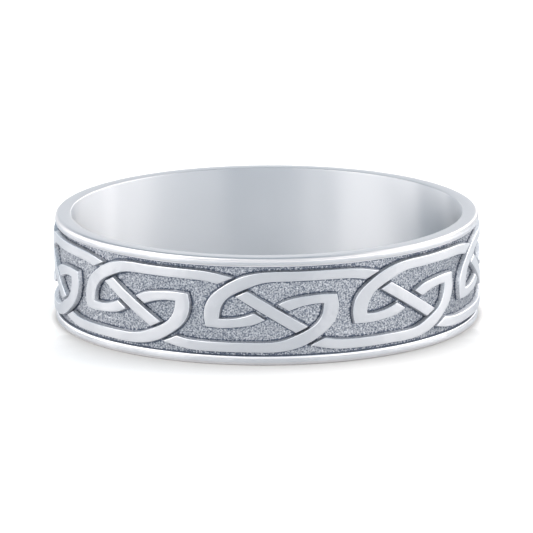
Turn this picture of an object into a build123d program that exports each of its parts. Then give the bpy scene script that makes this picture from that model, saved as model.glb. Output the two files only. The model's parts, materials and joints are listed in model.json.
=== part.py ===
# A wedding band with a raised Celtic knot that repeats round it, one solid of white metal.
# It lies on its side: +Z is the ring's axis, Z = 0 is the side face that it rests on, and the
# origin is the centre of that face. The middle of one knot faces -Y.
# A plain rim runs round each edge. The field between the rims is sunk, and the knot's strands
# stand up from it. A strand that passes under another is cut off short on each side of it.

from build123d import *
import math
import os

# Driving sizes, in millimetres
bore_radius = 9.15  # for a finger 18.3 mm across
rim_thickness = 0.75  # from the bore to the outside of the plain rims
band_width = 5.0  # along the ring's axis
rim_width = 0.42  # of each plain rim, along the axis
strand_rise = 0.07  # tops of the strands above the rims
relief_depth = 0.25  # from the tops of the strands down to the sunk field
bore_edge_round = 0.05  # where the bore meets the side faces
rim_edge_round = 0.05  # both outer edges of each rim
knot_count = 9

rim_radius = bore_radius + rim_thickness
strand_radius = rim_radius + strand_rise
field_radius = strand_radius - relief_depth
half_field = band_width / 2 - rim_width  # from the band's middle to a rim
knot_pitch = 2 * math.pi / knot_count  # angle that one knot takes, in radians

# Each strand's outline is a closed row of stretches, walked clockwise as seen from outside, and
# each stretch is a smooth curve on to the first point of the next. A stretch of one point is a
# straight cut. A point is (along, up) from the knot's middle, along as a share of the knot's
# pitch and up as a share of half the field. The knot has two curved strands, and the second is
# the first turned half a turn about the knot's middle.
curved_strand = [
    [  # outside, from the pointed corner up round the loop and along the run to its tip
        (-0.437, -0.355),
        (-0.451, -0.100),
        (-0.443, 0.090),
        (-0.410, 0.305),
        (-0.333, 0.536),
        (-0.243, 0.720),
        (-0.144, 0.841),
        (-0.030, 0.898),
        (0.120, 0.903),
        (0.300, 0.903),
        (0.460, 0.901),
        (0.567, 0.884),
        (0.670, 0.828),
    ],
    [(0.748, 0.768)],  # the run's cut end, along the next knot's loop
    [  # inside, back along the run and down the loop to its corner
        (0.643, 0.613),
        (0.567, 0.660),
        (0.460, 0.684),
        (0.270, 0.687),
        (0.080, 0.685),
        (-0.030, 0.668),
        (-0.101, 0.612),
        (-0.173, 0.515),
        (-0.241, 0.410),
        (-0.300, 0.270),
        (-0.335, 0.085),
    ],
    [  # upper edge of the leg, from the loop's inside corner
        (-0.348, -0.165),
        (-0.260, -0.155),
        (-0.180, -0.100),
    ],
    [(-0.114, -0.022)],  # the leg's cut end, along the bar
    [  # lower edge of the leg, back to the pointed corner
        (-0.043, -0.170),
        (-0.100, -0.262),
        (-0.216, -0.338),
        (-0.335, -0.370),
    ],
]
straight_bar = [[(-0.240, 0.345)], [(-0.159, 0.471)], [(0.240, -0.345)], [(0.159, -0.471)]]

strand_root = 0.1  # how far a strand's solid reaches down into the metal of the field


def middle_angle(outline):
    """Angle round the ring of the middle of an outline, from the knot's middle."""
    along = [point[0] for stretch in outline for point in stretch]
    return (min(along) + max(along)) / 2 * knot_pitch


def outline_wire(outline, distance):
    """The outline as seen from the axis, on an upright plane this far out from it."""

    def place(point):
        angle = point[0] * knot_pitch - middle_angle(outline)
        return Vector(distance * math.tan(angle), -distance, band_width / 2 + point[1] * half_field)

    edges = []
    for index, stretch in enumerate(outline):
        next_stretch = outline[(index + 1) % len(outline)]
        points = [place(point) for point in stretch + next_stretch[:1]]
        if len(points) == 2:
            edges.append(Edge.make_line(*points))
        else:
            edges.append(Edge.make_spline(points))
    return Wire(edges)


def tube(inner_radius, outer_radius):
    """A plain tube round the axis, as long as the band is wide."""
    ring = Cylinder(outer_radius, band_width) - Cylinder(inner_radius, band_width)
    return Pos(0, 0, band_width / 2) * ring


def strand(outline):
    """A raised strand with walls square to the ring's surface, at its place in the first knot."""
    root_radius = field_radius - strand_root
    below_root = root_radius * math.cos(knot_pitch)
    above_top = strand_radius / math.cos(knot_pitch)
    walls = [outline_wire(outline, below_root), outline_wire(outline, above_top)]
    column = Solid.make_loft(walls, ruled=True)
    turned = Rot(0, 0, math.degrees(middle_angle(outline))) * column
    return turned & tube(root_radius, strand_radius)


def half_turned(part):
    """The part turned half a turn about the line from the axis out through the knot's middle."""
    return Pos(0, 0, band_width / 2) * Rot(0, 180, 0) * Pos(0, 0, -band_width / 2) * part


def plain_band():
    """The ring without its knots: bore, rounded edges, two rims and the sunk field."""
    rim_top = band_width - rim_width
    corners = [
        (bore_radius, 0),
        (rim_radius, 0),
        (rim_radius, rim_width),
        (field_radius, rim_width),
        (field_radius, rim_top),
        (rim_radius, rim_top),
        (rim_radius, band_width),
        (bore_radius, band_width),
    ]
    section = make_face(Polyline(*corners, close=True))
    section = fillet(corners_at(section, bore_radius), bore_edge_round)
    section = fillet(corners_at(section, rim_radius), rim_edge_round)
    return revolve(Plane.XZ * section, Axis.Z)


def corners_at(section, radius):
    """The corners of a cross-section that lie at this radius."""
    return section.vertices().filter_by(lambda corner: math.isclose(corner.X, radius))


def knotted_band():
    """The whole ring, with its strands fused on."""
    curved = strand(curved_strand)
    knot = [curved, half_turned(curved), strand(straight_bar)]
    turns = [Rot(0, 0, 360 / knot_count * number) for number in range(knot_count)]
    return plain_band() + [turn * piece for turn in turns for piece in knot]


os.makedirs("parts", exist_ok=True)
export_step(knotted_band(), "parts/band.step")
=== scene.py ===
import json
import math

import bpy
import numpy as np
from mathutils import Matrix, Vector


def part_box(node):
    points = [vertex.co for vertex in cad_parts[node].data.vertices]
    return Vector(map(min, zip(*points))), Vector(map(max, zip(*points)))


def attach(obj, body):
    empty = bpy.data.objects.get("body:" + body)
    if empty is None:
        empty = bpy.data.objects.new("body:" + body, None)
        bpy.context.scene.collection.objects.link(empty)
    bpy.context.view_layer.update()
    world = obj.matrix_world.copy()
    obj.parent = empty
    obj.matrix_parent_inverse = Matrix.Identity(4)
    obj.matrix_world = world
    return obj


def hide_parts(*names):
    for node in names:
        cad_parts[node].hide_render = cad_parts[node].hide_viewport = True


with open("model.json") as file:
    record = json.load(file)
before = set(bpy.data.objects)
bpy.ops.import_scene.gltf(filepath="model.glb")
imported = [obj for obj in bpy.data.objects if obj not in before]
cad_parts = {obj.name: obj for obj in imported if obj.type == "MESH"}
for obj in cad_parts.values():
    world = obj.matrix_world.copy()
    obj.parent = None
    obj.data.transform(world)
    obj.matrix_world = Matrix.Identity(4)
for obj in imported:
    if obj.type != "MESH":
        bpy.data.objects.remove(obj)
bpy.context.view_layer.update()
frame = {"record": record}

millimetre = 0.001
bandLow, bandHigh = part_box("band")
print("frame loaded, the ring is %.2f mm across" % ((bandHigh.x - bandLow.x) / millimetre))


# Camera, at the photograph's angle

cameraSettings = {
    "lens": 432.5,
    "sensorWidth": 36,
    "distance": 300 * millimetre,
    "azimuth": -1.15,  # degrees round from -Y towards +X
    "elevation": 13.35,
    "roll": -0.29,
    "targetAlong": -0.021 * millimetre,
    "targetHeight": 2.287 * millimetre,
}


def makeCamera():
    # stands at a distance from a point on the ring's axis and looks at it, then leans by the roll
    s = cameraSettings
    azimuth, elevation, roll = (math.radians(s[k]) for k in ("azimuth", "elevation", "roll"))
    right = Vector((math.cos(azimuth), math.sin(azimuth), 0))
    back = Vector((math.sin(azimuth) * math.cos(elevation),
                   -math.cos(azimuth) * math.cos(elevation), math.sin(elevation)))
    up = back.cross(right)
    target = right * s["targetAlong"] + Vector((0, 0, s["targetHeight"]))
    sideways = right * math.cos(roll) + up * math.sin(roll)
    upwards = up * math.cos(roll) - right * math.sin(roll)
    data = bpy.data.cameras.new("camera")
    data.lens = s["lens"]
    data.sensor_width = s["sensorWidth"]
    data.clip_start = 10 * millimetre
    made = bpy.data.objects.new("camera", data)
    place = Matrix((sideways, upwards, back)).transposed().to_4x4()
    place.translation = target + back * s["distance"]
    made.matrix_world = place
    bpy.context.scene.collection.objects.link(made)
    bpy.context.scene.camera = made


makeCamera()
print("camera placed")


# Studio: pale floor with a painted contact shadow, soft lights and an even surround

studioSettings = {
    "floorSize": 3.0,
    "floorColour": (1.12, 1.09, 1.05, 1),  # in the picture, away from the ring
    "contactShadowPaint": (0.61, 0.59, 0.565, 1),  # in the picture, at the ring's foot: the painted contact shadow at its darkest
    "floorInReflections": (0.75, 0.75, 0.75, 1),
    "frontY": -10 * millimetre,  # from here forwards the contact shadow has its front reach
    "frontReach": 5.2 * millimetre,
    "endY": -2 * millimetre,  # from here back it has its end reach
    "endReach": 0.35 * millimetre,
    "lightDistance": 0.8,
    "lightColour": (1.06, 1.0, 0.96),
    "surroundColour": (0.74, 1.0, 1.26, 1),
    "surroundStrength": 0.41,
}

# azimuth in degrees round from -Y towards +X, width and height in degrees as the ring sees them,
# and how bright the panel looks next to the surround
softboxes = {
    "leftStrip": {"azimuth": -110, "elevation": 5.5, "width": 50, "height": 13, "brightness": 3.2},
    "leftPanel": {"azimuth": -77, "elevation": 22, "width": 56, "height": 20, "brightness": 2},
    "leftHigh": {"azimuth": -67, "elevation": 46, "width": 48, "height": 28, "brightness": 3.1},
    "frontHigh": {"azimuth": 0, "elevation": 60, "width": 50, "height": 30, "brightness": 0.7},
    "frontCard": {"azimuth": -7, "elevation": 20, "width": 48, "height": 26, "brightness": 1.4},
    "rightFront": {"azimuth": 47, "elevation": 22, "width": 50, "height": 20, "brightness": 2.3},
    "rightPanel": {"azimuth": 93, "elevation": 22, "width": 36, "height": 20, "brightness": 3.05},
    "rightRear": {"azimuth": 132, "elevation": 22, "width": 46, "height": 20, "brightness": 3.15},
    "rightStrip": {"azimuth": 52, "elevation": 5.5, "width": 50, "height": 13, "brightness": 1},
    "rightHigh": {"azimuth": 122, "elevation": 48, "width": 54, "height": 26, "brightness": 1.8},
    "backCard": {"azimuth": 188, "elevation": 14, "width": 72, "height": 28, "brightness": 0.8},
}


def makeSoftbox(name, box):
    # flat panel that faces the ring from a direction; each side is 2 x distance x tan(half its
    # angle), and its power is brightness x area x pi
    distance = studioSettings["lightDistance"]
    azimuth, elevation = math.radians(box["azimuth"]), math.radians(box["elevation"])
    direction = Vector((math.sin(azimuth) * math.cos(elevation),
                        -math.cos(azimuth) * math.cos(elevation), math.sin(elevation)))
    data = bpy.data.lights.new(name, "AREA")
    data.shape = "RECTANGLE"
    data.size, data.size_y = (2 * distance * math.tan(math.radians(box[side] / 2))
                              for side in ("width", "height"))
    data.color = studioSettings["lightColour"]
    data.energy = box["brightness"] * data.size * data.size_y * math.pi
    made = bpy.data.objects.new(name, data)
    made.rotation_euler = direction.to_track_quat("Z", "Y").to_euler()
    made.location = direction * distance
    bpy.context.scene.collection.objects.link(made)


def makeFloorPaint():
    # pale grey in the metal's reflections; in the picture white, with a painted contact shadow:
    # darker where the ring shuts off up to half of the sky within the shadow's reach, which runs
    # smoothly from the front reach to the end reach
    s = studioSettings
    paint = bpy.data.materials.new("palePaint")
    paint.use_nodes = True
    nodes, links = paint.node_tree.nodes, paint.node_tree.links
    place, apart = nodes.new("ShaderNodeTexCoord"), nodes.new("ShaderNodeSeparateXYZ")
    reach, openness = nodes.new("ShaderNodeMapRange"), nodes.new("ShaderNodeMapRange")
    overhead = nodes.new("ShaderNodeAmbientOcclusion")
    inPicture, either = nodes.new("ShaderNodeMix"), nodes.new("ShaderNodeMix")
    seen, shader = nodes.new("ShaderNodeLightPath"), nodes["Principled BSDF"]
    reach.interpolation_type = "SMOOTHSTEP"
    reach.inputs["From Min"].default_value = s["frontY"]
    reach.inputs["From Max"].default_value = s["endY"]
    reach.inputs["To Min"].default_value = s["frontReach"]
    reach.inputs["To Max"].default_value = s["endReach"]
    openness.inputs["From Min"].default_value = 0.5
    inPicture.data_type = either.data_type = "RGBA"
    inPicture.inputs["A"].default_value = s["contactShadowPaint"]
    inPicture.inputs["B"].default_value = s["floorColour"]
    either.inputs["A"].default_value = s["floorInReflections"]
    shader.inputs["Roughness"].default_value = 1
    shader.inputs["Specular IOR Level"].default_value = 0
    links.new(place.outputs["Object"], apart.inputs["Vector"])
    links.new(apart.outputs["Y"], reach.inputs["Value"])
    links.new(reach.outputs["Result"], overhead.inputs["Distance"])
    links.new(overhead.outputs["AO"], openness.inputs["Value"])
    links.new(openness.outputs["Result"], inPicture.inputs["Factor"])
    links.new(inPicture.outputs["Result"], either.inputs["B"])
    links.new(seen.outputs["Is Camera Ray"], either.inputs["Factor"])
    links.new(either.outputs["Result"], shader.inputs["Base Color"])
    return paint


def makeStudio():
    # flat square floor at the ring's foot, the softboxes and an even world
    half = studioSettings["floorSize"] / 2
    mesh = bpy.data.meshes.new("studioFloor")
    mesh.from_pydata([(-half, -half, 0), (half, -half, 0), (half, half, 0), (-half, half, 0)],
                     [], [(0, 1, 2, 3)])
    mesh.materials.append(makeFloorPaint())
    floor = bpy.data.objects.new("studioFloor", mesh)
    bpy.context.scene.collection.objects.link(floor)
    for name, box in softboxes.items():
        makeSoftbox(name, box)
    world = bpy.data.worlds.new("studio")
    world.use_nodes = True
    background = world.node_tree.nodes["Background"]
    background.inputs["Color"].default_value = studioSettings["surroundColour"]
    background.inputs["Strength"].default_value = studioSettings["surroundStrength"]
    bpy.context.scene.world = world
    bpy.context.scene.view_settings.view_transform = "Standard"


makeStudio()
print("studio built")


# Shared mesh helpers

def gridFaces(rows, columns, wrap=False):
    # quads between neighbouring rows and columns of a grid whose points are numbered row by row;
    # with wrap the last column joins the first
    steps = columns if wrap else columns - 1
    row, column = np.meshgrid(np.arange(rows - 1), np.arange(steps), indexing="ij")
    after = (column + 1) % columns
    corners = [row * columns + column, row * columns + after,
               (row + 1) * columns + after, (row + 1) * columns + column]
    return np.stack(corners, -1).reshape(-1, 4)


def meshFrom(name, points, quads):
    # a new object at the origin from an array of points and one of quads
    mesh = bpy.data.meshes.new(name)
    mesh.vertices.add(len(points))
    mesh.vertices.foreach_set("co", np.asarray(points, np.float32).ravel())
    mesh.loops.add(quads.size)
    mesh.loops.foreach_set("vertex_index", quads.ravel().astype(np.int32))
    mesh.polygons.add(len(quads))
    mesh.polygons.foreach_set("loop_start", np.arange(0, quads.size, 4, dtype=np.int32))
    mesh.update(calc_edges=True)
    made = bpy.data.objects.new(name, mesh)
    bpy.context.scene.collection.objects.link(made)
    return made


def aroundAxis(radius, angle, height):
    # points at these radii, angles and heights; angle 0 faces -Y and grows towards +X
    return np.stack([radius * np.sin(angle), -radius * np.cos(angle), height + 0 * angle], -1)


# Sizes of the ring, in metres

boreMount = next(m for m in frame["record"]["mounts"] if m["name"] == "finger_bore")
ringSizes = {
    "boreRadius": boreMount["dims"]["r_mm"] * millimetre,
    "strandRadius": (bandHigh.x - bandLow.x) / 2,
    "bandWidth": bandHigh.z,
    "rimWidth": 0.42 * millimetre,
    "strandRise": 0.07 * millimetre,
    "reliefDepth": 0.25 * millimetre,
    "boreEdgeRound": 0.05 * millimetre,
    "rimEdgeRound": 0.045 * millimetre,
    "upperEdgeRound": 0.14 * millimetre,
    "lowerEdgeRound": 0.08 * millimetre,
    "knotCount": 9,
}
rimRadius = ringSizes["strandRadius"] - ringSizes["strandRise"]
fieldRadius = ringSizes["strandRadius"] - ringSizes["reliefDepth"]
middleHeight = ringSizes["bandWidth"] / 2
halfField = middleHeight - ringSizes["rimWidth"]
knotPitch = 2 * math.pi / ringSizes["knotCount"]
pitchLength = knotPitch * ringSizes["strandRadius"]


# The ring without its strands

bodySettings = {
    "columns": 720,
    "fieldRows": 60,
    "roundSteps": 3,
    "outerSteps": 7,
    "rimRows": 5,
    "rimCrown": 0.035 * millimetre,
    "stippleHeight": 0.02 * millimetre,
    "stippleJitter": 0.3,
    "seed": 11,
}


def quarterRound(centreRadius, centreHeight, radius, startAngle):
    # quarter circle in the cross-section, anticlockwise from startAngle in degrees; the large
    # rounds of the rims' outside edges have more steps than the others
    large = radius > ringSizes["boreEdgeRound"]
    steps = bodySettings["outerSteps" if large else "roundSteps"]
    angles = np.radians(startAngle + np.linspace(0, 90, steps + 1))
    return np.stack([centreRadius + radius * np.cos(angles),
                     centreHeight + radius * np.sin(angles)], -1)


def rimSection(low, high, lowRound, highRound):
    # outer face of a rim from its lower edge up: a round, a shallow crown and a round; the crown
    # falls off as the square of the share of the way from its middle to its end
    s = bodySettings
    share = np.linspace(-1, 1, s["rimRows"] + 2)[1:-1]
    end = rimRadius - s["rimCrown"]
    start, stop = low + lowRound, high - highRound
    crown = np.stack([rimRadius - s["rimCrown"] * share ** 2,
                      (start + stop) / 2 + share * (stop - start) / 2], -1)
    return np.concatenate([quarterRound(end - lowRound, start, lowRound, 270), crown,
                           quarterRound(end - highRound, stop, highRound, 0)])


def bodyProfile():
    # the cross-section as (radius, height), anticlockwise from the foot of the bore, and the
    # number of its first field row
    s = ringSizes
    bore, width, edge = s["boreRadius"], s["bandWidth"], s["boreEdgeRound"]
    inner = s["rimEdgeRound"]
    lowRim, highRim = s["rimWidth"], width - s["rimWidth"]
    lower = np.concatenate([quarterRound(bore + edge, edge, edge, 180),
                            rimSection(0, lowRim, s["lowerEdgeRound"], inner)])
    field = np.stack([np.full(bodySettings["fieldRows"], fieldRadius),
                      np.linspace(lowRim, highRim, bodySettings["fieldRows"])], -1)
    upper = np.concatenate([rimSection(highRim, width, inner, s["upperEdgeRound"]),
                            quarterRound(bore + edge, width - edge, edge, 90)])
    return np.concatenate([lower, field, upper, lower[:1]]), len(lower)


def makeBody():
    # the cross-section carried round the axis, its field shaken in radius, height and angle
    s = bodySettings
    profile, fieldStart = bodyProfile()
    angle = np.arange(s["columns"]) * 2 * math.pi / s["columns"]
    radius = np.repeat(profile[:, :1], s["columns"], 1)
    height = np.repeat(profile[:, 1:], s["columns"], 1)
    turn = np.repeat(angle[None], len(profile), 0)
    random = np.random.default_rng(s["seed"])
    inside = slice(fieldStart + 1, fieldStart + s["fieldRows"] - 1)
    shape = radius[inside].shape
    rowGap = 2 * halfField / (s["fieldRows"] - 1)
    columnGap = 2 * math.pi / s["columns"]
    radius[inside] += random.uniform(-1, 1, shape) * s["stippleHeight"]
    height[inside] += random.uniform(-1, 1, shape) * s["stippleJitter"] * rowGap
    turn[inside] += random.uniform(-1, 1, shape) * s["stippleJitter"] * columnGap
    points = aroundAxis(radius[:-1], turn[:-1], height[:-1]).reshape(-1, 3)
    faces = gridFaces(len(profile), s["columns"], wrap=True) % len(points)
    return meshFrom("ringBody", points, faces)


# The knot's strands

strandSettings = {
    "edgeRound": 0.045 * millimetre,
    "edgeSteps": 3,
    "wallLean": 12,
    "root": 0.05 * millimetre,
    "sharpestMitre": 1.7,
    "across": 3,
    "legSteps": 14,
    "loopSteps": 36,
    "runSteps": 22,
    "barSteps": 16,
}

# points as shares of the knot's pitch and of half the field, from the knot's middle
knotShares = {
    "legLower": [(-0.043, -0.170), (-0.100, -0.262), (-0.216, -0.338), (-0.335, -0.370),
                 (-0.437, -0.355)],
    "loopOuter": [(-0.437, -0.355), (-0.451, -0.100), (-0.443, 0.090), (-0.410, 0.305),
                  (-0.333, 0.536), (-0.243, 0.720), (-0.144, 0.841), (-0.030, 0.898)],
    "runOuter": [(0.120, 0.903), (0.300, 0.903), (0.460, 0.901), (0.567, 0.884),
                 (0.670, 0.828), (0.748, 0.768)],
    "legUpper": [(-0.114, -0.022), (-0.180, -0.100), (-0.260, -0.155), (-0.348, -0.165)],
    "loopInner": [(-0.348, -0.165), (-0.335, 0.085), (-0.300, 0.270), (-0.241, 0.410),
                  (-0.173, 0.515), (-0.101, 0.612), (-0.030, 0.668)],
    "runInner": [(0.080, 0.685), (0.270, 0.687), (0.460, 0.684), (0.567, 0.660),
                 (0.643, 0.613)],
    "barUpper": [(-0.159, 0.471), (0.240, -0.345)],
    "barLower": [(-0.240, 0.345), (0.159, -0.471)],
}


def shareLengths(shares):
    # shares as metres round and along the ring
    return np.array(shares) * [pitchLength, halfField]


def smoothThrough(points, breaks, counts):
    # natural cubic spline through the points, its parameter the distance along the chords;
    # sampled evenly between the points numbered in breaks, with counts[i] steps in each stretch
    gaps = np.linalg.norm(np.diff(points, axis=0), axis=1)
    knots = np.concatenate([[0], np.cumsum(gaps)])
    size = len(points)
    matrix, right = np.eye(size), np.zeros((size, 2))
    inner = np.arange(1, size - 1)
    matrix[inner, inner - 1] = gaps[:-1]
    matrix[inner, inner] = 2 * (gaps[:-1] + gaps[1:])
    matrix[inner, inner + 1] = gaps[1:]
    right[inner] = 6 * np.diff(np.diff(points, axis=0) / gaps[:, None], axis=0)
    bend = np.linalg.solve(matrix, right)
    stretches = [np.linspace(knots[a], knots[b], count + 1)[:-1]
                 for a, b, count in zip(breaks[:-1], breaks[1:], counts)]
    at = np.concatenate(stretches + [knots[breaks[-1]:breaks[-1] + 1]])
    index = np.clip(np.searchsorted(knots, at, side="right") - 1, 0, size - 2)
    gap = gaps[index][:, None]
    a = ((knots[index + 1] - at) / gaps[index])[:, None]
    b = 1 - a
    bendTerm = (a ** 3 - a) * bend[index] + (b ** 3 - b) * bend[index + 1]
    return a * points[index] + b * points[index + 1] + bendTerm * gap ** 2 / 6


def curvedSides():
    # the two long sides of the curved strand, point for point, from the leg's cut end to the
    # run's; loop and run are one smooth curve
    s, k = strandSettings, knotShares
    sides = []
    for leg, loop, run in (("legLower", "loopOuter", "runOuter"),
                           ("legUpper", "loopInner", "runInner")):
        legCurve = smoothThrough(shareLengths(k[leg]), [0, len(k[leg]) - 1], [s["legSteps"]])
        joined = shareLengths(k[loop] + k[run])
        breaks = [0, len(k[loop]) - 1, len(joined) - 1]
        rest = smoothThrough(joined, breaks, [s["loopSteps"], s["runSteps"]])
        sides.append(np.concatenate([legCurve[:-1], rest]))
    return sides


def barSides():
    # the two long straight sides of the bar, from its upper left end to its lower right
    share = np.linspace(0, 1, strandSettings["barSteps"] + 1)[:, None]
    ends = [shareLengths(knotShares[side]) for side in ("barUpper", "barLower")]
    return [end[0] + (end[1] - end[0]) * share for end in ends]


def rimOrder(rows, columns):
    # numbers of a grid's border points, forwards along its first column, across its last row,
    # back along its last column and across its first row
    number = np.arange(rows * columns).reshape(rows, columns)
    return np.concatenate([number[:-1, 0], number[-1, :-1], number[:0:-1, -1], number[0, :0:-1]])


def ribbonGrid(sideA, sideB):
    # straight lines across from one side to the other
    share = np.linspace(0, 1, strandSettings["across"] + 1)[None, :, None]
    return sideA[:, None] * (1 - share) + sideB[:, None] * share


def insetOutline(outline, distance):
    # every point of a clockwise outline moved inwards along its mitre, the same distance from
    # both of its edges; a negative distance moves outwards, and there a sharp mitre is cut short
    edges = np.roll(outline, -1, 0) - outline
    normal = np.stack([edges[:, 1], -edges[:, 0]], -1)
    normal /= np.linalg.norm(normal, axis=1)[:, None]
    before = np.roll(normal, 1, 0)
    mitre = (normal + before) / (1 + (normal * before).sum(1))[:, None]
    if distance < 0:
        length = np.linalg.norm(mitre, axis=1)[:, None]
        mitre *= np.minimum(1, strandSettings["sharpestMitre"] / length)
    return outline + mitre * distance


def strandSection():
    # (inset, radius) from the root up the leaning wall and over the rounded edge
    s, top = strandSettings, ringSizes["strandRadius"]
    lean = math.radians(s["wallLean"])
    angles = np.linspace(lean, math.pi / 2, s["edgeSteps"] + 1)
    inset = s["edgeRound"] * (math.cos(lean) - np.cos(angles))
    radius = top - s["edgeRound"] * (1 - np.sin(angles))
    rootRadius = fieldRadius - s["root"]
    flare = (radius[0] - rootRadius) * math.tan(lean)
    return np.concatenate([[[-flare, rootRadius]], np.stack([inset, radius], -1)])


def strandShell(sideA, sideB):
    # closed shell of one strand as (radius, angle, height): rings of its outline at each
    # (inset, radius) of the section, and a ribbon across the first ring and the last
    grid = ribbonGrid(sideA, sideB)
    rows, columns = grid.shape[:2]
    border = rimOrder(rows, columns)
    count = len(border)
    section = strandSection()
    rings = np.array([insetOutline(grid.reshape(-1, 2)[border], inset) for inset, _ in section])
    points = [np.concatenate([np.broadcast_to(section[:, None, 1:], rings.shape[:2] + (1,)),
                              rings], -1).reshape(-1, 3)]
    faces = [gridFaces(len(section), count, wrap=True)[:, ::-1]]
    inner = np.setdiff1d(np.arange(rows * columns), border)
    for level in (0, len(section) - 1):
        flat = np.zeros((rows, columns, 2))
        flat.reshape(-1, 2)[border] = rings[level]
        flat[1:-1] = ribbonGrid(flat[1:-1, 0], flat[1:-1, -1])
        number = np.zeros(rows * columns, int)
        number[border] = level * count + np.arange(count)
        number[inner] = sum(map(len, points)) + np.arange(len(inner))
        points.append(np.concatenate([np.full((len(inner), 1), section[level, 1]),
                                      flat.reshape(-1, 2)[inner]], -1))
        lid = number[gridFaces(rows, columns)]
        faces.append(lid if level else lid[:, ::-1])
    return np.concatenate(points), np.concatenate(faces)


def makeStrands():
    # each knot is the curved strand, the same turned half a turn, and the bar; the knots follow
    # one another round the axis
    points, faces, start = [], [], 0
    curved, bar = curvedSides(), barSides()
    for sides in (curved, [-side for side in curved], bar):
        shell, quads = strandShell(*sides)
        for number in range(ringSizes["knotCount"]):
            angle = shell[:, 1] / ringSizes["strandRadius"] + number * knotPitch
            points.append(aroundAxis(shell[:, 0], angle, middleHeight + shell[:, 2]))
            faces.append(quads + start)
            start += len(shell)
    return meshFrom("ringStrands", np.concatenate(points), np.concatenate(faces))


def fuse(body, strands):
    # one closed mesh from the ring's body and its strands; both are left out of the scene
    cutter = body.modifiers.new("strands", "BOOLEAN")
    cutter.operation, cutter.solver, cutter.object = "UNION", "MANIFOLD", strands
    graph = bpy.context.evaluated_depsgraph_get()
    mesh = bpy.data.meshes.new_from_object(body.evaluated_get(graph))
    bpy.data.objects.remove(body)
    bpy.data.objects.remove(strands)
    mesh.name = "knottedBand"
    mesh.materials.clear()  # the union leaves an empty slot
    made = bpy.data.objects.new("knottedBand", mesh)
    bpy.context.scene.collection.objects.link(made)
    return made


band = fuse(makeBody(), makeStrands())
triangles = sum(len(face.vertices) - 2 for face in band.data.polygons)
print("ring fused, %d triangles" % triangles)


# Which part of the ring each face belongs to, and how far from a wall each point is

# a face's slope is the share of its normal that points outwards, or along the axis for a side face
partLimits = {
    "boreSlope": -0.5,
    "sideSlope": 0.3,
    "edgeSlope": 0.97,
    "wallSlope": 0.45,
    "fieldSlope": 0.4,
    "fieldThickness": 0.04 * millimetre,  # how far above its ground a face still is the field
    "pastBore": 0.3 * millimetre,
    "sharpAngle": 40,
}


def faceParts(mesh):
    # 0 rims and strand tops, 1 bore, 2 sunk field, 3 walls of the strands and rims, 4 their
    # rounded edges, 5 side faces and the rounds next to them
    limits = partLimits
    count = len(mesh.polygons)
    centre, normal = np.zeros(count * 3, np.float32), np.zeros(count * 3, np.float32)
    mesh.polygons.foreach_get("center", centre)
    mesh.polygons.foreach_get("normal", normal)
    centre, normal = centre.reshape(-1, 3), normal.reshape(-1, 3)
    radius = np.hypot(centre[:, 0], centre[:, 1])
    outward = (normal[:, :2] * centre[:, :2]).sum(1) / radius
    up = np.abs(centre[:, 2] - middleHeight)
    sunk = ((up < halfField + ringSizes["rimEdgeRound"])
            & (radius > ringSizes["boreRadius"] + limits["pastBore"]))
    part = np.zeros(count, np.int32)
    part[outward < limits["boreSlope"]] = 1
    part[~sunk & (np.abs(normal[:, 2]) > limits["sideSlope"])] = 5
    part[sunk & (outward < limits["edgeSlope"])] = 4
    part[sunk & (outward < limits["wallSlope"])] = 3
    low = radius < fieldRadius + limits["fieldThickness"]
    part[sunk & low & (outward > limits["fieldSlope"])] = 2
    return part


def wallGaps(mesh):
    # distance in millimetres from each point to the foot of the nearest wall: along the field it
    # is the distance to the nearest strand outline less the wall's flare, or to the rim, and on
    # a wall it is the height above the field
    count = len(mesh.vertices)
    place = np.zeros(count * 3, np.float32)
    mesh.vertices.foreach_get("co", place)
    place = place.reshape(-1, 3)
    angle = np.arctan2(place[:, 0], -place[:, 1])
    along = ((angle / knotPitch + 0.5) % 1 - 0.5) * pitchLength
    up = place[:, 2] - middleHeight
    curved, bar = curvedSides(), barSides()
    outlines = np.concatenate([np.concatenate(sides) for sides in
                               (curved, [-side for side in curved], bar)])
    outlines = np.concatenate([outlines + [step * pitchLength, 0] for step in (-1, 0, 1)])
    distance = halfField - np.abs(up)
    radius = np.hypot(place[:, 0], place[:, 1])
    pastBore = radius > ringSizes["boreRadius"] + partLimits["pastBore"]
    field = np.flatnonzero((distance > 0) & pastBore)
    flare = ringSizes["reliefDepth"] * math.tan(math.radians(strandSettings["wallLean"]))
    for chunk in np.array_split(field, 40):  # in shares, to keep the memory small
        gap = np.hypot(along[chunk, None] - outlines[None, :, 0],
                       up[chunk, None] - outlines[None, :, 1]).min(1) - flare
        distance[chunk] = np.minimum(distance[chunk], gap)
    return np.hypot(np.maximum(distance, 0), np.maximum(radius - fieldRadius, 0)) / millimetre


mesh = band.data
parts = faceParts(mesh)
mesh.polygons.foreach_set("use_smooth", parts != 2)  # the field's facets stay flat, as grains
mesh.set_sharp_from_angle(angle=math.radians(partLimits["sharpAngle"]))
wallGap = mesh.attributes.new("wallGap", "FLOAT", "POINT")
wallGap.data.foreach_set("value", wallGaps(mesh).astype(np.float32))
print("parts of the ring told apart")


# Metal finishes

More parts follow.
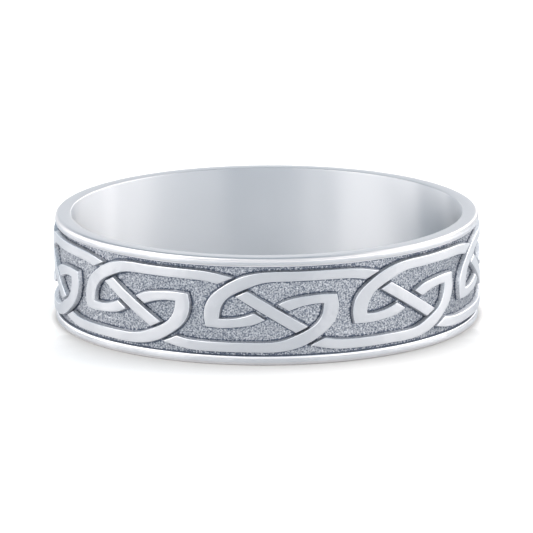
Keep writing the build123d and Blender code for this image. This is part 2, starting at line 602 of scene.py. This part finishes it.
finishSettings = {
    "silver": (0.68, 0.685, 0.7, 1),
    # brighter copy of the silver that sets how bright the bore looks under these lamps: painted
    # light
    "boreLitSilver": (0.725, 0.735, 0.75, 1),
    # brighter copy of the silver for the rounded edges: painted highlights along them
    "highlightSilver": (0.86, 0.865, 0.88, 1),
    # darker, warmer copy of the silver that sets how the side faces and the rounds next to them
    # look under these lamps: painted shade and warm tint
    "sideShadedSilver": (0.66, 0.637, 0.628, 1),
    # dark colour of the tarnished pits, and of the strip along the walls, which is tarnish and
    # painted shade
    "tarnishAndShade": (0.12, 0.14, 0.18, 1),
    "markScale": 9000,
    "markSqueeze": (0.04, 0.04, 1),  # makes the marks long round the ring
    "patchScale": 1500,
    "pitStart": 0.68,  # the grain's height at which a pit begins to darken
    "pitFull": 0.36,
    "bumpDepth": 0.02 * millimetre,
    "polished": {"roughness": 0.42, "change": 0.05, "bump": 0.3, "anisotropy": 1.0,
                 "unevenness": 9},
    "bore": {"roughness": 0.44, "change": 0.03, "bump": 0.05, "anisotropy": 1.0,
             "unevenness": 0},
    "sides": {"roughness": 0.4, "change": 0.03, "bump": 0.1, "anisotropy": 0.0,
              "unevenness": 2},
    "edges": {"roughness": 0.34, "change": 0.05, "bump": 0.05, "anisotropy": 0.0,
              "unevenness": 0},
    "field": {"roughness": 0.4, "bump": 0.8, "grain": 14000, "pits": 0.95, "reach": 0.1,
              "ragged": 1.4},
    "walls": {"roughness": 0.4, "bump": 0.3, "grain": 14000, "pits": 0.4, "reach": 0.07,
              "ragged": 1.2},
}


def groupSocket(group, name, direction, kind, value=None):
    # one named input or output of a shader node group
    socket = group.interface.new_socket(name=name, in_out=direction, socket_type=kind)
    if value is not None:
        socket.default_value = value


def mathNode(group, operation, first, second=None, third=None, clamp=False):
    # one Math node; each operand is a number or an output to link
    node = group.nodes.new("ShaderNodeMath")
    node.operation, node.use_clamp = operation, clamp
    for index, operand in enumerate((first, second, third)):
        if isinstance(operand, (int, float)):
            node.inputs[index].default_value = operand
        elif operand is not None:
            group.links.new(operand, node.inputs[index])
    return node.outputs[0]


def makePolishGroup():
    # fine polishing marks that run round the ring: noise stretched across the ring's axis; the
    # roughness is its own value + change x (patches - 0.5), and the height is marks +
    # unevenness x patches, the patches being a broader noise
    group = bpy.data.node_groups.new("polishMarks", "ShaderNodeTree")
    groupSocket(group, "Position", "INPUT", "NodeSocketVector")
    groupSocket(group, "Roughness", "INPUT", "NodeSocketFloat", 0.2)
    groupSocket(group, "Roughness Change", "INPUT", "NodeSocketFloat", 0.06)
    groupSocket(group, "Unevenness", "INPUT", "NodeSocketFloat", 0)
    groupSocket(group, "Roughness", "OUTPUT", "NodeSocketFloat")
    groupSocket(group, "Height", "OUTPUT", "NodeSocketFloat")
    nodes, links = group.nodes, group.links
    ins, outs = nodes.new("NodeGroupInput"), nodes.new("NodeGroupOutput")
    squeeze = nodes.new("ShaderNodeMapping")
    squeeze.inputs["Scale"].default_value = finishSettings["markSqueeze"]
    marks, patches = nodes.new("ShaderNodeTexNoise"), nodes.new("ShaderNodeTexNoise")
    marks.inputs["Scale"].default_value = finishSettings["markScale"]
    marks.inputs["Detail"].default_value = 4
    patches.inputs["Scale"].default_value = finishSettings["patchScale"]
    links.new(ins.outputs["Position"], squeeze.inputs["Vector"])
    links.new(squeeze.outputs["Vector"], marks.inputs["Vector"])
    links.new(ins.outputs["Position"], patches.inputs["Vector"])
    centred = mathNode(group, "SUBTRACT", patches.outputs["Fac"], 0.5)
    rough = mathNode(group, "MULTIPLY_ADD", centred, ins.outputs["Roughness Change"],
                     ins.outputs["Roughness"])
    links.new(rough, outs.inputs["Roughness"])
    uneven = mathNode(group, "MULTIPLY", patches.outputs["Fac"], ins.outputs["Unevenness"])
    height = mathNode(group, "ADD", uneven, marks.outputs["Fac"])
    links.new(height, outs.inputs["Height"])
    return group


def makeTarnishShadeGroup():
    # stippled and oxidised metal: the pits between the grains are dark, and so is a ragged strip
    # along each wall, full at the wall's foot and gone past the reach; this strip is oxide tarnish
    # and painted shade of the hollows together; the strip is 2 x (1 - gap / reach + 2 x ragged x
    # (0.5 - grain)), kept between 0 and 1
    group = bpy.data.node_groups.new("tarnishAndShadeGrain", "ShaderNodeTree")
    groupSocket(group, "Position", "INPUT", "NodeSocketVector")
    groupSocket(group, "Wall Gap", "INPUT", "NodeSocketFloat", 0)
    groupSocket(group, "Grain", "INPUT", "NodeSocketFloat", 12000)
    groupSocket(group, "Pits", "INPUT", "NodeSocketFloat", 0.5)
    groupSocket(group, "Reach", "INPUT", "NodeSocketFloat", 0.1)
    groupSocket(group, "Ragged", "INPUT", "NodeSocketFloat", 0.5)
    groupSocket(group, "Metal", "INPUT", "NodeSocketColor")
    groupSocket(group, "Tarnish And Shade", "INPUT", "NodeSocketColor")
    groupSocket(group, "Colour", "OUTPUT", "NodeSocketColor")
    groupSocket(group, "Height", "OUTPUT", "NodeSocketFloat")
    nodes, links = group.nodes, group.links
    ins, outs = nodes.new("NodeGroupInput"), nodes.new("NodeGroupOutput")
    grain = nodes.new("ShaderNodeTexNoise")
    grain.inputs["Detail"].default_value = 2
    links.new(ins.outputs["Position"], grain.inputs["Vector"])
    links.new(ins.outputs["Grain"], grain.inputs["Scale"])
    pits = nodes.new("ShaderNodeMapRange")
    pits.inputs["From Min"].default_value = finishSettings["pitStart"]
    pits.inputs["From Max"].default_value = finishSettings["pitFull"]
    links.new(grain.outputs["Fac"], pits.inputs["Value"])
    links.new(ins.outputs["Pits"], pits.inputs["To Max"])
    nearness = mathNode(group, "DIVIDE", ins.outputs["Wall Gap"], ins.outputs["Reach"])
    nearness = mathNode(group, "SUBTRACT", 1, nearness)
    wobble = mathNode(group, "SUBTRACT", 0.5, grain.outputs["Fac"])
    wobble = mathNode(group, "MULTIPLY", wobble, ins.outputs["Ragged"])
    strip = mathNode(group, "MULTIPLY_ADD", wobble, 2, nearness)
    strip = mathNode(group, "MULTIPLY", strip, 2, clamp=True)
    factor = mathNode(group, "MAXIMUM", pits.outputs["Result"], strip, clamp=True)
    mix = nodes.new("ShaderNodeMix")
    mix.data_type = "RGBA"
    links.new(factor, mix.inputs["Factor"])
    links.new(ins.outputs["Metal"], mix.inputs["A"])
    links.new(ins.outputs["Tarnish And Shade"], mix.inputs["B"])
    links.new(mix.outputs["Result"], outs.inputs["Colour"])
    links.new(grain.outputs["Fac"], outs.inputs["Height"])
    return group


polishGroup, tarnishShadeGroup = makePolishGroup(), makeTarnishShadeGroup()


def metalMaterial(name, colour, bumpStrength):
    # a metal with its Object coordinates and a Bump node ready
    made = bpy.data.materials.new(name)
    made.use_nodes = True
    nodes = made.node_tree.nodes
    shader = nodes["Principled BSDF"]
    shader.inputs["Metallic"].default_value = 1
    shader.inputs["Base Color"].default_value = finishSettings[colour]
    place, bump = nodes.new("ShaderNodeTexCoord"), nodes.new("ShaderNodeBump")
    bump.inputs["Distance"].default_value = finishSettings["bumpDepth"]
    bump.inputs["Strength"].default_value = bumpStrength
    made.node_tree.links.new(bump.outputs["Normal"], shader.inputs["Normal"])
    return made, shader, place.outputs["Object"], bump


def polishedMetal(name, settings, colour="silver"):
    # silver with polishing marks that run round the ring
    made, shader, place, bump = metalMaterial(name, colour, settings["bump"])
    links = made.node_tree.links
    marks = made.node_tree.nodes.new("ShaderNodeGroup")
    marks.node_tree = polishGroup
    marks.inputs["Roughness"].default_value = settings["roughness"]
    marks.inputs["Roughness Change"].default_value = settings["change"]
    marks.inputs["Unevenness"].default_value = settings["unevenness"]
    links.new(place, marks.inputs["Position"])
    links.new(marks.outputs["Roughness"], shader.inputs["Roughness"])
    links.new(marks.outputs["Height"], bump.inputs["Height"])
    shader.inputs["Anisotropic"].default_value = settings["anisotropy"]
    shader.inputs["Anisotropic Rotation"].default_value = 0.25  # stretched along the ring's axis
    return made


def tarnishedShadedMetal(name, settings):
    # silver with grains and dark pits, darker towards the walls with tarnish and painted shade
    made, shader, place, bump = metalMaterial(name, "silver", settings["bump"])
    nodes, links = made.node_tree.nodes, made.node_tree.links
    grain = nodes.new("ShaderNodeGroup")
    grain.node_tree = tarnishShadeGroup
    for key in ("grain", "pits", "reach", "ragged"):
        grain.inputs[key.capitalize()].default_value = settings[key]
    grain.inputs["Metal"].default_value = finishSettings["silver"]
    grain.inputs["Tarnish And Shade"].default_value = finishSettings["tarnishAndShade"]
    gap = nodes.new("ShaderNodeAttribute")
    gap.attribute_name = "wallGap"
    links.new(place, grain.inputs["Position"])
    links.new(gap.outputs["Fac"], grain.inputs["Wall Gap"])
    links.new(grain.outputs["Colour"], shader.inputs["Base Color"])
    links.new(grain.outputs["Height"], bump.inputs["Height"])
    shader.inputs["Roughness"].default_value = settings["roughness"]
    return made


for metal in (polishedMetal("polishedSilver", finishSettings["polished"]),
              polishedMetal("boreLitSilver", finishSettings["bore"], "boreLitSilver"),
              tarnishedShadedMetal("stippledSilver", finishSettings["field"]),
              tarnishedShadedMetal("wallSilver", finishSettings["walls"]),
              # rounded edges in a brighter copy of the silver: painted highlights
              polishedMetal("edgeHighlightSilver", finishSettings["edges"], "highlightSilver"),
              polishedMetal("sideShadedSilver", finishSettings["sides"], "sideShadedSilver")):
    mesh.materials.append(metal)
mesh.polygons.foreach_set("material_index", parts)
mesh.update()
print("metal finishes laid on")

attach(band, "root")
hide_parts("band")
